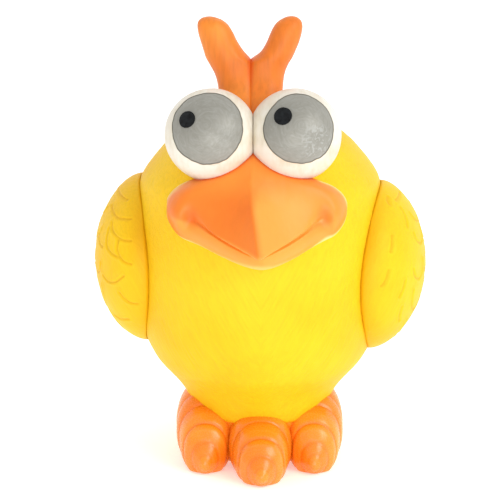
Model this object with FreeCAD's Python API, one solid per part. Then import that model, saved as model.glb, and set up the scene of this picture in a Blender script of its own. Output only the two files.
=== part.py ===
# Squeaky rubber chicken: a hollow, egg-shaped latex bird that stands on three toes.
# Millimetres, +Z up. The origin is the centre of the sole, the bird faces -Y, and its own left is +X.
# Pressing the head down shortens the belly, which blows air through the squeaker in the sole.

import FreeCAD, Part
import math
import os

Vector = FreeCAD.Vector
UP = Vector(0, 0, 1)
X_AXIS = Vector(1, 0, 0)
Y_AXIS = Vector(0, 1, 0)

# Clearances
body_gap = 0.3          # between pieces that move against each other
seat_gap = 0.1          # between a piece and the seat that holds it

# Skin: half width and height of the outline, the bird's full turn of it being the outer surface
sole_to_skin = 14.0     # floor to the lowest point of the skin
skin_height = 91.5      # lowest to highest point of the skin
heel_radius = 22.4
heel_up = 5.4           # heights above the lowest point of the skin
hip_radius = 32.0
hip_up = 17.2
belly_radius = 37.2
belly_up = 44.0
shoulder_radius = 32.5
shoulder_down = 19.6    # depths below the highest point of the skin
crown_radius = 20.0
crown_down = 6.4
skin_wall = 2.2
neck_up = 7.0           # where the belly stops and the head starts, above the fullest part

# Face, set a little towards the bird's right
face_shift = -2.1
eye_radius = 12.9
eye_spread = 11.6       # eye centre to the plane where the two eyes meet
eye_down = 6.0          # eye centre below the highest point of the skin
eye_proud = 3.7         # eye centre in front of the skin at the eyes' height
iris_radius = 9.8
iris_thickness = 0.35
gaze_up = 22.0          # degrees
gaze_out = 2.0
pupil_radius = 2.25
pupil_thickness = 0.3
pupil_aims = {"left": (-20.6, 35.7), "right": (-31.5, 30.8)}    # degrees: towards the bird's left, up

# Beak
beak_half_width = 24.2
beak_length = 15.8      # tip in front of the skin at the beak's height
beak_down = 23.0        # middle of the beak, below the highest point of the skin

# Crest
crest_shift = -2.8
crest_back = -5.0       # y of the crest's middle
crest_half_width = 8.7
crest_half_depth = 4.4
crest_pivot_up = 2.0    # the knuckle's axis above the highest point of the skin
crest_height = 22.5     # tip above the knuckle's axis
crest_spread = 11.4     # tip to the middle of the crest

# Wings
wing_turn = -4.4        # both wings are set this many degrees round the body, anticlockwise from above
wing_thickness = 10.8   # outer face of a wing from the belly's fullest
wing_front = 23.3       # how far the pad reaches forwards and back
wing_back = 27.5
wing_half_height = 25.0
wing_swing = 25.0       # degrees that a wing lifts
knuckle_radius = 3.0    # the wing's rounded top edge, which it turns about
knuckle_drop = 3.0      # from the top of the wing to the knuckle's axis

# Feet
pad_radius = 19.5
pad_back = 2.0
pad_height = 24.0
sole_round = 1.6
toe_radius = 8.6
toe_out = 19.0          # tip of the middle toe in front of the sole
toe_rise = 11.0         # where a toe's axis starts, above the floor
side_toe_radius = 8.2
side_toe_spread = 14.8
side_toe_out = 8.5
toe_tip_rise = 2.6
toe_rings = 4           # ring edges, the last of them at the claw
claw_share = 0.8        # of a toe's length, where its claw starts
ring_bulge = 0.11       # of a toe's radius

# Squeaker
squeaker_radius = 8.9
squeaker_wall = 1.2
squeaker_height = 21.5
squeaker_recess = 0.6   # the flange is set this far up into the sole
flange_overhang = 1.6
flange_thickness = 1.2
groove_up = 4.0         # the groove that a lip in the sole snaps into, above the floor
groove_width = 2.0
groove_depth = 0.7
outlet_radius = 2.5
ledge_up = 12.0         # what the reed plate rests on
ledge_width = 1.2
plate_thickness = 1.6
reed_width = 4.6
reed_lap = 0.6          # how far the tongue covers the plate on each side of the slot
reed_thickness = 0.25
reed_tail = 1.0         # what the clip's mouth holds
reed_lift = 4.0         # degrees that the tongue stands off the plate at rest
reed_end_gap = 1.9      # tongue's tip to the housing's wall
clip_length = 3.0
clip_side = 1.0         # the clip beside the tongue
clip_gap = 1.0          # clip to the housing's wall
clip_thickness = 1.6
clip_lift = 0.2         # half of the mouth that the tail moves in
cap_thickness = 1.5
cap_hole_radius = 0.9
cap_hole_circle = 4.6
cap_hole_count = 6

# Heights that follow
skin_bottom = sole_to_skin
skin_top = sole_to_skin + skin_height
neck_z = skin_bottom + belly_up + neck_up
wing_half_width = belly_radius + wing_thickness
flange_radius = squeaker_radius + flange_overhang
pad_front = pad_radius - pad_back
eye_z = skin_top - eye_down
beak_z = skin_top - beak_down
crest_pivot_z = skin_top + crest_pivot_up
wing_z = skin_bottom + belly_up
BIG = 400.0
offset_points = 20      # how finely the skin's outline is moved in or out


def mirrored_x(shape):
    return shape.mirror(Vector(0, 0, 0), X_AXIS)


def turned(shape, degrees):
    return shape.rotated(Vector(0, 0, 0), UP, degrees)


def box_between(low, high):
    size = high - low
    return Part.makeBox(size.x, size.y, size.z, low)


def slab(low_z, high_z):
    return box_between(Vector(-BIG, -BIG, low_z), Vector(BIG, BIG, high_z))


def beyond(x, side):
    """Everything on the +X side of a plane at x, or on its -X side where side is negative."""
    low, high = (x, BIG) if side > 0 else (-BIG, x)
    return box_between(Vector(low, -BIG, -BIG), Vector(high, BIG, BIG))


def centred_cylinder(radius, middle, axis, length):
    start = middle - axis * (length / 2)
    return Part.makeCylinder(radius, length, start, axis)


def ellipse_wire(centre, along, across, along_half, across_half):
    """A closed ellipse round centre, given by two unit vectors and the half sizes along them."""
    normal = along.cross(across)
    place = FreeCAD.Matrix(
        along.x * along_half, across.x * across_half, normal.x, centre.x,
        along.y * along_half, across.y * across_half, normal.y, centre.y,
        along.z * along_half, across.z * across_half, normal.z, centre.z,
        0, 0, 0, 1,
    )
    return Part.Wire(Part.Circle(Vector(0, 0, 0), UP, 1).toShape().transformGeometry(place).Edges)


def biggest(shape):
    return max(shape.Solids, key=lambda solid: solid.Volume)


# Skin


def half_outline(points):
    """A smooth curve from the first point to the last, both on the axis, that crosses the axis squarely."""
    def mirrored(group):
        return [Vector(-p.x, p.y, p.z) for p in reversed(group)]
    curve = Part.BSplineCurve()
    curve.interpolate(mirrored(points[1:3]) + points + mirrored(points[-3:-1]))
    curve.segment(curve.parameter(points[0]), curve.parameter(points[-1]))
    return curve


def skin_curve():
    return half_outline([
        Vector(0, 0, skin_bottom),
        Vector(heel_radius, 0, skin_bottom + heel_up),
        Vector(hip_radius, 0, skin_bottom + hip_up),
        Vector(belly_radius, 0, skin_bottom + belly_up),
        Vector(shoulder_radius, 0, skin_top - shoulder_down),
        Vector(crown_radius, 0, skin_top - crown_down),
        Vector(0, 0, skin_top),
    ])


def inset_curve(curve, inset):
    """The outline moved in by inset, or out where inset is negative."""
    low, high = curve.FirstParameter, curve.LastParameter
    points = []
    for i in range(offset_points + 1):
        at = low + (high - low) * i / offset_points
        along = curve.tangent(at)[0]
        points.append(curve.value(at) + Vector(-along.z, 0, along.x) * inset)
    points[0].x = 0
    points[-1].x = 0
    return half_outline(points)


def revolved(curve):
    edge = curve.toShape()
    first, last = edge.Vertexes[0].Point, edge.Vertexes[-1].Point
    outline = Part.Wire([edge, Part.LineSegment(last, first).toShape()])
    return Part.Face(outline).revolve(Vector(0, 0, 0), UP, 360)


def skin_radius(height):
    """Half width of the skin at a height above the floor."""
    line = Part.LineSegment(Vector(0, 0, height), Vector(BIG, 0, height)).toShape()
    return line.distToShape(OUTLINE.toShape())[1][0][0].x


def skin_front(x, height):
    """How far forward the skin is, this far from the middle, at a height above the floor."""
    return math.sqrt(skin_radius(height) ** 2 - x ** 2)


OUTLINE = skin_curve()
BODY = revolved(OUTLINE)
BODY_CLEAR = revolved(inset_curve(OUTLINE, -body_gap))
CAVITY = revolved(inset_curve(OUTLINE, skin_wall))


def belly_skin():
    lower = BODY.cut(CAVITY).common(slab(0, neck_z))
    return lower.cut(centred_cylinder(squeaker_radius + seat_gap, Vector(0, 0, skin_bottom), UP, 2 * heel_up))


def head_skin():
    return BODY.cut(CAVITY).common(slab(neck_z + seat_gap, BIG))


# Eyes


def eye_centre(side):
    return Vector(face_shift + side * eye_spread, -skin_radius(eye_z) - eye_proud, eye_z)


def aim(outward, upward):
    """Unit vector that points forwards, turned towards +X and up by these degrees."""
    a, b = math.radians(outward), math.radians(upward)
    return Vector(math.sin(a) * math.cos(b), -math.cos(a) * math.cos(b), math.sin(b))


def eyeball(side):
    """A ball that is flat where it meets the other one."""
    return Part.makeSphere(eye_radius, eye_centre(side)).common(beyond(face_shift, side)).cut(BODY)


def painted_disc(side, direction, radius, inner, thickness):
    """A thin round layer that lies on the eyeball, from inner to inner plus thickness."""
    centre = eye_centre(side)
    layer = Part.makeSphere(inner + thickness, centre).cut(Part.makeSphere(inner, centre))
    return layer.common(Part.makeCylinder(radius, eye_radius * 2, centre, direction))


def iris(side):
    return painted_disc(side, aim(side * gaze_out, gaze_up), iris_radius, eye_radius, iris_thickness)


def pupil(side):
    outward, upward = pupil_aims["left" if side > 0 else "right"]
    inner = eye_radius + iris_thickness
    return painted_disc(side, aim(outward, upward), pupil_radius, inner, pupil_thickness)


# Beak: lofts of ellipses across the face, each given by where it is and how long, thick and steep it is


def beak_loft(sections):
    wires = []
    for x, y, z, long_half, thick_half, pitch in sections:
        forward = Vector(0, -math.cos(math.radians(pitch)), -math.sin(math.radians(pitch)))
        upward = X_AXIS.cross(forward)
        wires.append(ellipse_wire(Vector(x, y, z), forward, upward, long_half, thick_half))
    return Part.makeLoft(wires, True, False)


def beak_half(sections, ridge_x, side):
    """Sections from the beak's middle to one cheek: share of the half width, how far proud of the skin,
    how far below the beak's middle height, half length, half thickness and pitch in degrees."""
    placed = []
    for share, proud, drop, long_half, thick_half, pitch in sections:
        x = share * beak_half_width
        forward = skin_front(x, beak_z - drop) + proud
        placed.append((ridge_x + side * x, -forward, beak_z - drop, long_half, thick_half, pitch))
    return placed


def beak_tip_y():
    return -skin_radius(beak_z) - beak_length


def upper_beak_raw():
    ridge_x = face_shift / 2
    cheek = (
        (0.36, 0.4, -0.5, 12.5, 6.4, 40),
        (0.70, 0.3, 1.6, 8.8, 6.4, 36),
        (0.90, 1.0, 2.2, 6.6, 5.8, 30),
        (1.00, 2.1, 2.2, 2.0, 2.0, 30),
    )
    long_half = 1.13 * beak_length
    middle = (ridge_x, beak_tip_y() + 0.76 * long_half, beak_z + 0.6, long_half, 6.6, 43)
    return beak_loft(beak_half(cheek, ridge_x, -1)[::-1] + [middle] + beak_half(cheek, ridge_x, 1))


def lower_beak_raw():
    lip = (
        (0.40, 0.9, 9.8, 7.6, 4.2, 28),
        (0.70, -0.3, 6.6, 6.6, 4.8, 24),
        (0.88, -0.4, 4.4, 3.0, 3.0, 20),
    )
    middle = (0, beak_tip_y() + 12, beak_z - 12, 8.4, 3.8, 24)
    return beak_loft(beak_half(lip, 0, -1)[::-1] + [middle] + beak_half(lip, 0, 1))


def seated_on_face(raw, *others):
    shape = raw.cut(BODY)
    for side in (1, -1):
        shape = shape.cut(Part.makeSphere(eye_radius + iris_thickness, eye_centre(side)))
    for other in others:
        shape = shape.cut(other)
    return biggest(shape)


# Crest


def crest_knuckle(gap):
    """The round end of the crest's root, about the axis that the lobes bend on."""
    middle = Vector(crest_shift, crest_back, crest_pivot_z)
    return centred_cylinder(crest_half_depth + seat_gap + gap, middle, X_AXIS, 4 * crest_half_width)


def crest_root():
    foot = Vector(crest_shift, crest_back, eye_z)
    plan = ellipse_wire(foot, X_AXIS, Y_AXIS, crest_half_width, crest_half_depth)
    stem = Part.Face(plan).extrude(UP * (crest_pivot_z - eye_z + 2 * crest_half_depth))
    above = slab(crest_pivot_z, BIG).cut(crest_knuckle(0))
    return biggest(stem.cut(above).cut(BODY))


def crest_lobe(side):
    """One finger of the crest, from the knuckle to its rounded tip."""
    root_half = crest_half_width / 2
    depth_half = crest_half_depth - seat_gap
    sections = (                     # share of the height, middle, half width, half depth
        (0.00, root_half, root_half, depth_half),
        (0.16, crest_spread * 0.41, crest_spread * 0.41, depth_half),
        (0.34, crest_spread * 0.46, crest_spread * 0.46, depth_half),
        (0.48, crest_spread * 0.52, crest_spread * 0.50, depth_half),
        (0.72, crest_spread * 0.79, crest_spread * 0.37, depth_half * 0.95),
        (0.86, crest_spread * 0.95, crest_spread * 0.34, depth_half * 0.85),
        (0.96, crest_spread * 1.02, crest_spread * 0.23, depth_half * 0.60),
        (1.00, crest_spread * 1.05, crest_spread * 0.08, depth_half * 0.25),
    )
    wires = []
    for share, middle, half_width, half_depth in sections:
        centre = Vector(crest_shift + side * middle, crest_back, crest_pivot_z + share * crest_height)
        wires.append(ellipse_wire(centre, X_AXIS, Y_AXIS, half_width, half_depth))
    lobe = Part.makeLoft(wires, True, False)
    own_half = beyond(crest_shift + side * body_gap / 2, side)
    below = slab(-BIG, crest_pivot_z + crest_half_depth / 3)
    return biggest(lobe.common(own_half).cut(crest_knuckle(body_gap)).cut(below))


# Wings


def wing_pivot():
    """A point on the left wing's hinge, before both wings are set round the body."""
    height = wing_z + wing_half_height - knuckle_drop
    return Vector(skin_radius(height) + body_gap + knuckle_radius, 0, height)


def wing_pad():
    """The left wing's cushion, by level sections. Each row is a height as a share of the half height,
    then the outer face and the reach forwards and back as shares of the largest."""
    sections = (
        (1.00, 0.770, 0.46, 0.42),
        (0.84, 0.845, 0.60, 0.60),
        (0.68, 0.905, 0.79, 0.76),
        (0.48, 0.957, 0.91, 0.88),
        (0.20, 0.990, 0.98, 0.96),
        (-0.10, 1.000, 1.00, 1.00),
        (-0.45, 0.965, 0.94, 1.00),
        (-0.75, 0.890, 0.70, 0.90),
        (-0.93, 0.810, 0.40, 0.70),
        (-1.00, 0.750, 0.14, 0.48),
    )
    wires = []
    middle_x = belly_radius / 2
    for up, out, forward, backward in sections:
        half_length = (forward * wing_front + backward * wing_back) / 2
        middle_y = (backward * wing_back - forward * wing_front) / 2
        centre = Vector(middle_x, middle_y, wing_z + up * wing_half_height)
        wires.append(ellipse_wire(centre, X_AXIS, Y_AXIS, out * wing_half_width - middle_x, half_length))
    return Part.makeLoft(wires, True, False)


def wing_left_square():
    """The left wing before it is set round the body. Its hollow back clears the belly all the way up."""
    pivot = wing_pivot()
    above = slab(pivot.z, BIG).cut(centred_cylinder(knuckle_radius, pivot, Y_AXIS, BIG))
    shape = wing_pad().cut(above)
    for share in (0, 0.5, 1):
        shape = shape.cut(BODY_CLEAR.rotated(pivot, Y_AXIS, share * wing_swing))
    return biggest(shape)


# Feet


def foot_pad_raw():
    pad = Part.makeCylinder(pad_radius, pad_height, Vector(0, pad_back, 0), UP)
    rim = [e for e in pad.Edges if e.BoundBox.ZMax < pad_height / 2 and e.BoundBox.XLength > pad_radius]
    return pad.makeFillet(sole_round, rim)


def squeaker_bore():
    """What the sole is opened by: a stepped bore with a lip left standing for the housing's groove."""
    through = Part.makeCylinder(squeaker_radius + seat_gap, BIG, Vector(0, 0, -1), UP)
    mouth_height = squeaker_recess + flange_thickness + seat_gap
    mouth = Part.makeCylinder(flange_radius + seat_gap, mouth_height + 1, Vector(0, 0, -1), UP)
    lip_low = groove_up + seat_gap
    lip = Part.makeCylinder(BIG, groove_width - 2 * seat_gap, Vector(0, 0, lip_low), UP)
    lip = lip.cut(Part.makeCylinder(squeaker_radius - groove_depth + seat_gap, BIG, Vector(0, 0, -1), UP))
    return through.cut(lip).fuse(mouth)


def foot_pad():
    return biggest(foot_pad_raw().cut(BODY).cut(squeaker_bore()))


def ringed_toe(start, tip, radius):
    """A toe turned about its own axis: rings that get smaller, and a blunt claw."""
    length = (tip - start).Length
    ends = []
    for i in range(toe_rings):
        share = claw_share * i / (toe_rings - 1)
        ends.append((share * length, radius * math.sqrt(1 - share ** 2.4)))
    edges = []
    for (x0, r0), (x1, r1) in zip(ends, ends[1:]):
        middle = Vector((x0 + x1) / 2, 0, (r0 + r1) / 2 + ring_bulge * radius)
        edges.append(Part.Arc(Vector(x0, 0, r0), middle, Vector(x1, 0, r1)).toShape())
    x0, r0 = ends[-1]
    quarter = math.sqrt(0.5)
    middle = Vector(x0 + (length - x0) * quarter, 0, r0 * quarter)
    edges.append(Part.Arc(Vector(x0, 0, r0), middle, Vector(length, 0, 0)).toShape())
    edges.append(Part.LineSegment(Vector(length, 0, 0), Vector(0, 0, 0)).toShape())
    edges.append(Part.LineSegment(Vector(0, 0, 0), Vector(0, 0, radius)).toShape())
    toe = Part.Face(Part.Wire(edges)).revolve(Vector(0, 0, 0), X_AXIS, 360)
    toe.Placement = FreeCAD.Placement(start, FreeCAD.Rotation(X_AXIS, tip - start))
    return toe.cut(slab(-BIG, 0))


def toe_middle_raw():
    start = Vector(-1.6, -pad_front / 2, toe_rise)
    return ringed_toe(start, Vector(0.6, -pad_front - toe_out, toe_tip_rise), toe_radius)


def toe_middle():
    return biggest(toe_middle_raw().cut(foot_pad_raw()).cut(BODY))


def toe_side(side):
    start = Vector(side * side_toe_spread, pad_back, toe_rise)
    tip = Vector(side * (side_toe_spread + 1.5), -pad_front - side_toe_out, toe_tip_rise)
    toe = ringed_toe(start, tip, side_toe_radius)
    return biggest(toe.cut(foot_pad_raw()).cut(toe_middle_raw()).cut(BODY))


# Squeaker, on the body's axis


def squeaker_housing():
    low = squeaker_recess
    top = low + squeaker_height
    bore = squeaker_radius - squeaker_wall
    outside = Part.makeCylinder(squeaker_radius, squeaker_height, Vector(0, 0, low), UP)
    flange = Part.makeCylinder(flange_radius, flange_thickness, Vector(0, 0, low), UP)
    groove = Part.makeCylinder(BIG, groove_width, Vector(0, 0, groove_up), UP)
    groove = groove.cut(Part.makeCylinder(squeaker_radius - groove_depth, BIG, Vector(0, 0, -1), UP))
    upper = Part.makeCylinder(bore, top - ledge_up + 1, Vector(0, 0, ledge_up), UP)
    floor_z = low + flange_thickness
    lower = Part.makeCylinder(bore - ledge_width, ledge_up - floor_z, Vector(0, 0, floor_z), UP)
    outlet = Part.makeCylinder(outlet_radius, flange_thickness + 2, Vector(0, 0, low - 1), UP)
    return outside.fuse(flange).cut(groove).cut(upper).cut(lower).cut(outlet).removeSplitter()


def plate_top():
    return ledge_up + plate_thickness


def reed_root_y():
    """Where the tongue leaves the clip."""
    return squeaker_radius - squeaker_wall - clip_gap - clip_length


def reed_tip_y():
    return -(squeaker_radius - squeaker_wall - reed_end_gap)


def reed_plate():
    """A disc with a slot that the tongue covers on all sides."""
    disc_radius = squeaker_radius - squeaker_wall - seat_gap
    disc = Part.makeCylinder(disc_radius, plate_thickness, Vector(0, 0, ledge_up), UP)
    slot = box_between(
        Vector(-reed_width / 2 + reed_lap, reed_tip_y() + reed_lap, 0),
        Vector(reed_width / 2 - reed_lap, reed_root_y() - reed_lap, BIG),
    )
    return disc.cut(slot)


def reed_pivot():
    return Vector(0, reed_root_y(), plate_top() + clip_lift + reed_thickness / 2)


def squeaker_reed():
    pivot = reed_pivot()
    low = Vector(-reed_width / 2, reed_tip_y(), pivot.z - reed_thickness / 2)
    high = pivot + Vector(reed_width / 2, reed_tail, reed_thickness / 2)
    return box_between(low, high).rotated(pivot, X_AXIS, -reed_lift)


def reed_clip():
    """A bar over the reed's tail, with a mouth in its front that leaves the tail free to rock."""
    root = reed_root_y()
    half = reed_width / 2 + clip_side
    bar = box_between(
        Vector(-half, root, plate_top()), Vector(half, root + clip_length, plate_top() + clip_thickness)
    )
    mouth_half = reed_width / 2 + seat_gap
    mouth_top = plate_top() + reed_thickness + 2 * clip_lift
    mouth = box_between(
        Vector(-mouth_half, root - 1, plate_top()), Vector(mouth_half, root + reed_tail + seat_gap, mouth_top)
    )
    return bar.cut(mouth)


def squeaker_cap():
    top = squeaker_recess + squeaker_height
    bore = squeaker_radius - squeaker_wall
    disc = Part.makeCylinder(bore - seat_gap, cap_thickness, Vector(0, 0, top - cap_thickness), UP)
    holes = [Vector(0, 0, 0)]
    for i in range(cap_hole_count):
        a = 2 * math.pi * i / cap_hole_count
        holes.append(Vector(math.cos(a), math.sin(a), 0) * cap_hole_circle)
    for at in holes:
        disc = disc.cut(Part.makeCylinder(cap_hole_radius, BIG, at, UP))
    return disc


def build():
    wing = wing_left_square()
    upper = seated_on_face(upper_beak_raw())
    parts = {
        "belly_skin": belly_skin(),
        "head_skin": head_skin(),
        "upper_beak": upper,
        "lower_beak": seated_on_face(lower_beak_raw(), upper),
        "crest_root": crest_root(),
        "foot_pad": foot_pad(),
        "toe_middle": toe_middle(),
        "squeaker_housing": squeaker_housing(),
        "squeaker_cap": squeaker_cap(),
        "reed_plate": reed_plate(),
        "reed_clip": reed_clip(),
        "squeaker_reed": squeaker_reed(),
    }
    for name, side in (("left", 1), ("right", -1)):
        parts["eyeball_" + name] = eyeball(side)
        parts["iris_" + name] = iris(side)
        parts["pupil_" + name] = pupil(side)
        parts["crest_lobe_" + name] = crest_lobe(side)
        parts["wing_" + name] = turned(wing if side > 0 else mirrored_x(wing), wing_turn)
        parts["toe_" + name] = toe_side(side)
    return parts


def main():
    os.makedirs("parts", exist_ok=True)
    for name, shape in build().items():
        assert shape.isValid() and shape.Solids, name
        shape.exportStep("parts/" + name + ".step")
        print(name, len(shape.Solids), round(shape.Volume, 1))
    print("wing pivot", wing_pivot(), "crest pivot z", crest_pivot_z, "reed pivot", reed_pivot())


main()
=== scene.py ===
import math
import bmesh
import bpy
from mathutils import Matrix, Vector, kdtree, noise
from mathutils.geometry import interpolate_bezier


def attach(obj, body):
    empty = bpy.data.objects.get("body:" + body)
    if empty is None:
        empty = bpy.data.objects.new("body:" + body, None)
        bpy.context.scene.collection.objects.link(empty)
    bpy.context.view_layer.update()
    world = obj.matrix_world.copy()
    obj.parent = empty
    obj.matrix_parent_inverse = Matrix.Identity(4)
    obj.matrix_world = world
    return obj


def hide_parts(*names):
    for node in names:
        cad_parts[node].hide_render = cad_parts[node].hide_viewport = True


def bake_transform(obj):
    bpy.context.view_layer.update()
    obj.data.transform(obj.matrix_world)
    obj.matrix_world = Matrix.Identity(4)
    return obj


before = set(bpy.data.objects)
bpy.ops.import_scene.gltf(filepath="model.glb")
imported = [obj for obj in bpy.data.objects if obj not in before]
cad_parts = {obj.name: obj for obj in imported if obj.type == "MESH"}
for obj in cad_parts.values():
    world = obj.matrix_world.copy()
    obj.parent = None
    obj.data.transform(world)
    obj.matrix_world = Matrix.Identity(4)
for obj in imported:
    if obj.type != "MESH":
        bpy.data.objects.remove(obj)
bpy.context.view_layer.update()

mm = 0.001
fullTurn = 2 * math.pi
tiny = 1e-6


def smoothLine(points, perSpan):
    # a curve with automatic handles through a few given points
    points = [Vector((across, up, 0)) for across, up in points]
    last = len(points) - 1

    def handle(i):
        # a sixth of the way between the neighbours keeps the curve even
        return (points[min(i + 1, last)] - points[max(i - 1, 0)]) / 6

    line = []
    for i in range(last):
        start, stop = points[i], points[i + 1]
        line += interpolate_bezier(start, start + handle(i), stop - handle(i + 1), stop, perSpan + 1)[:-1]
    return line + [points[-1]]


def between(value, low, high):
    # 0 below low, 1 above high, smooth between
    t = min(max((value - low) / (high - low), 0), 1)
    return t * t * (3 - 2 * t)


def unevenness(p, size, seed=0.0):
    return noise.noise(Vector((p.x / size + seed, p.y / size, p.z / size - seed)))


def linkPath(bm, points):
    # a run of edges through the points, ready to be spun
    path = [bm.verts.new(p) for p in points]
    for start, stop in zip(path, path[1:]):
        bm.edges.new((start, stop))
    return path


def spinRound(bm, steps, axis=(0, 0, 1)):
    bmesh.ops.spin(bm, geom=bm.verts[:] + bm.edges[:], cent=(0, 0, 0), axis=axis, angle=fullTurn,
                   steps=steps, use_merge=True)


def makePiece(bm, name, body, finish, recalc=True):
    # the bmesh is in millimetres up to here
    if recalc:
        bmesh.ops.recalc_face_normals(bm, faces=bm.faces[:])
    bmesh.ops.scale(bm, vec=(mm, mm, mm), verts=bm.verts[:])
    for face in bm.faces:
        face.smooth = True
    mesh = bpy.data.meshes.new(name)
    bm.to_mesh(mesh)
    bm.free()
    piece = bpy.data.objects.new(name, mesh)
    bpy.context.collection.objects.link(piece)
    mesh.materials.append(finish)
    if body:
        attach(piece, body)
    return piece


def softenPiece(piece, levels, keep=False):
    soften = piece.modifiers.new("soften", "SUBSURF")
    soften.levels = soften.render_levels = levels
    if keep:
        # the softened mesh becomes the piece's own, so that finer shaping can follow
        graph = bpy.context.evaluated_depsgraph_get()
        mesh = bpy.data.meshes.new_from_object(piece.evaluated_get(graph))
        piece.modifiers.clear()
        piece.data = mesh


def shapePiece(piece, move):
    # move(point, normal) in millimetres gives the new point and the paint's tones there
    mesh = piece.data
    points = [v.co / mm for v in mesh.vertices]
    normals = [v.normal.copy() for v in mesh.vertices]
    layers = {}
    for vert, p, n in zip(mesh.vertices, points, normals):
        placed, tones = move(p, n)
        vert.co = placed * mm
        for name, value in tones.items():
            if name not in layers:
                layers[name] = mesh.attributes.get(name) or mesh.attributes.new(name, "FLOAT", "POINT")
            layers[name].data[vert.index].value = value
    mesh.update()


def colour(code):
    # sRGB hex to linear
    parts = [int(code[i:i + 2], 16) / 255 for i in (1, 3, 5)]
    return [c / 12.92 if c <= 0.04045 else ((c + 0.055) / 1.055) ** 2.4 for c in parts] + [1.0]


def addNode(tree, kind, settings=None, inputs=None):
    node = tree.nodes.new(kind)
    for key, value in (settings or {}).items():
        if key == "ramp":
            stops = node.color_ramp.elements
            while len(stops) < len(value):
                stops.new(0.5)
            for stop, (place, tint) in zip(stops, value):
                stop.position = place
                stop.color = colour(tint) if isinstance(tint, str) else (tint, tint, tint, 1)
        else:
            setattr(node, key, value)
    for socket, value in (inputs or {}).items():
        if isinstance(value, bpy.types.NodeSocket):
            tree.links.new(value, node.inputs[socket])
        else:
            node.inputs[socket].default_value = value
    return node


def startMaterial(name, sockets):
    material = bpy.data.materials.new(name)
    material.use_nodes = True
    tree = material.node_tree
    shader = tree.nodes["Principled BSDF"]
    for socket, value in sockets.items():
        shader.inputs[socket].default_value = value
    return material, tree, shader


def paintedLatex(name, look):
    # cast natural rubber, brushed with a flexible paint: satin, faintly streaked,
    # deeper where the coat is thick
    material, tree, shader = startMaterial(name, {
        "Roughness": look["roughness"], "IOR": 1.52, "Specular IOR Level": look["shine"],
        "Subsurface Weight": look["glow"], "Subsurface Radius": look["glowReach"],
        "Subsurface Scale": 3 * mm})
    place = addNode(tree, "ShaderNodeTexCoord").outputs["Object"]
    parts = addNode(tree, "ShaderNodeSeparateXYZ", inputs={"Vector": place})
    # strokes fall outwards from the crown, so they slant with the distance from the middle
    away = addNode(tree, "ShaderNodeMath", {"operation": "ABSOLUTE"}, {0: parts.outputs["X"]})
    lean = addNode(tree, "ShaderNodeMath", {"operation": "MULTIPLY_ADD"},
                   {0: parts.outputs["Z"], 1: look["lean"], 2: away.outputs[0]})
    leaned = addNode(tree, "ShaderNodeCombineXYZ",
                     inputs={"X": lean.outputs[0], "Y": parts.outputs["Y"], "Z": parts.outputs["Z"]})
    wide, tall = 1 / (look["strokeWidth"] * mm), 1 / (look["strokeLength"] * mm)
    strokePlace = addNode(tree, "ShaderNodeMapping",
                          inputs={"Vector": leaned.outputs[0], "Scale": (wide, wide, tall)})
    strokes = addNode(tree, "ShaderNodeTexNoise", inputs={
        "Vector": strokePlace.outputs[0], "Scale": 1.0, "Detail": 3.0, "Roughness": 0.55, "Distortion": 0.25})
    patches = addNode(tree, "ShaderNodeTexNoise", inputs={
        "Vector": place, "Scale": 1 / (look["patchSize"] * mm), "Detail": 2.0, "Roughness": 0.5})
    coats = [(0.3, look["thick"]), (0.5, look["main"]), (0.72, look["thin"])]
    ground = addNode(tree, "ShaderNodeValToRGB", {"ramp": coats}, {0: patches.outputs["Fac"]})
    streak = addNode(tree, "ShaderNodeValToRGB", {"ramp": [(0.32, 1 - look["streak"]), (0.62, 1.0)]},
                     {0: strokes.outputs["Fac"]})
    streaked = addNode(tree, "ShaderNodeMix", {"data_type": "RGBA", "blend_type": "MULTIPLY"},
                       {0: 1.0, 6: ground.outputs[0], 7: streak.outputs[0]})
    shade = streaked.outputs[2]
    for layer, tint in look["tones"].items():
        # stored on the piece from 0 to 1: painted light on a lit side or ridge, painted shade in hollows and
        # creases, and a pale rim with a painted highlight
        amount = addNode(tree, "ShaderNodeAttribute", {"attribute_name": layer})
        shade = addNode(tree, "ShaderNodeMix", {"data_type": "RGBA"},
                        {0: amount.outputs["Fac"], 6: shade, 7: colour(tint)}).outputs[2]
    tree.links.new(shade, shader.inputs["Base Color"])
    fine = addNode(tree, "ShaderNodeTexNoise", inputs={
        "Vector": place, "Scale": 1 / (look["grain"] * mm), "Detail": 2.0, "Roughness": 0.6})
    height = addNode(tree, "ShaderNodeMath", {"operation": "MULTIPLY_ADD"},
                     {0: fine.outputs["Fac"], 1: 0.35, 2: strokes.outputs["Fac"]})
    bump = addNode(tree, "ShaderNodeBump", inputs={
        "Height": height.outputs[0], "Strength": look["relief"], "Distance": look["reliefDepth"] * mm})
    tree.links.new(bump.outputs[0], shader.inputs["Normal"])
    # the gloss varies a little with the grain
    gloss = addNode(tree, "ShaderNodeMapRange", inputs={
        "Value": fine.outputs["Fac"], "To Min": look["roughness"] - 0.06, "To Max": look["roughness"] + 0.08})
    tree.links.new(gloss.outputs[0], shader.inputs["Roughness"])
    return material


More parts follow.
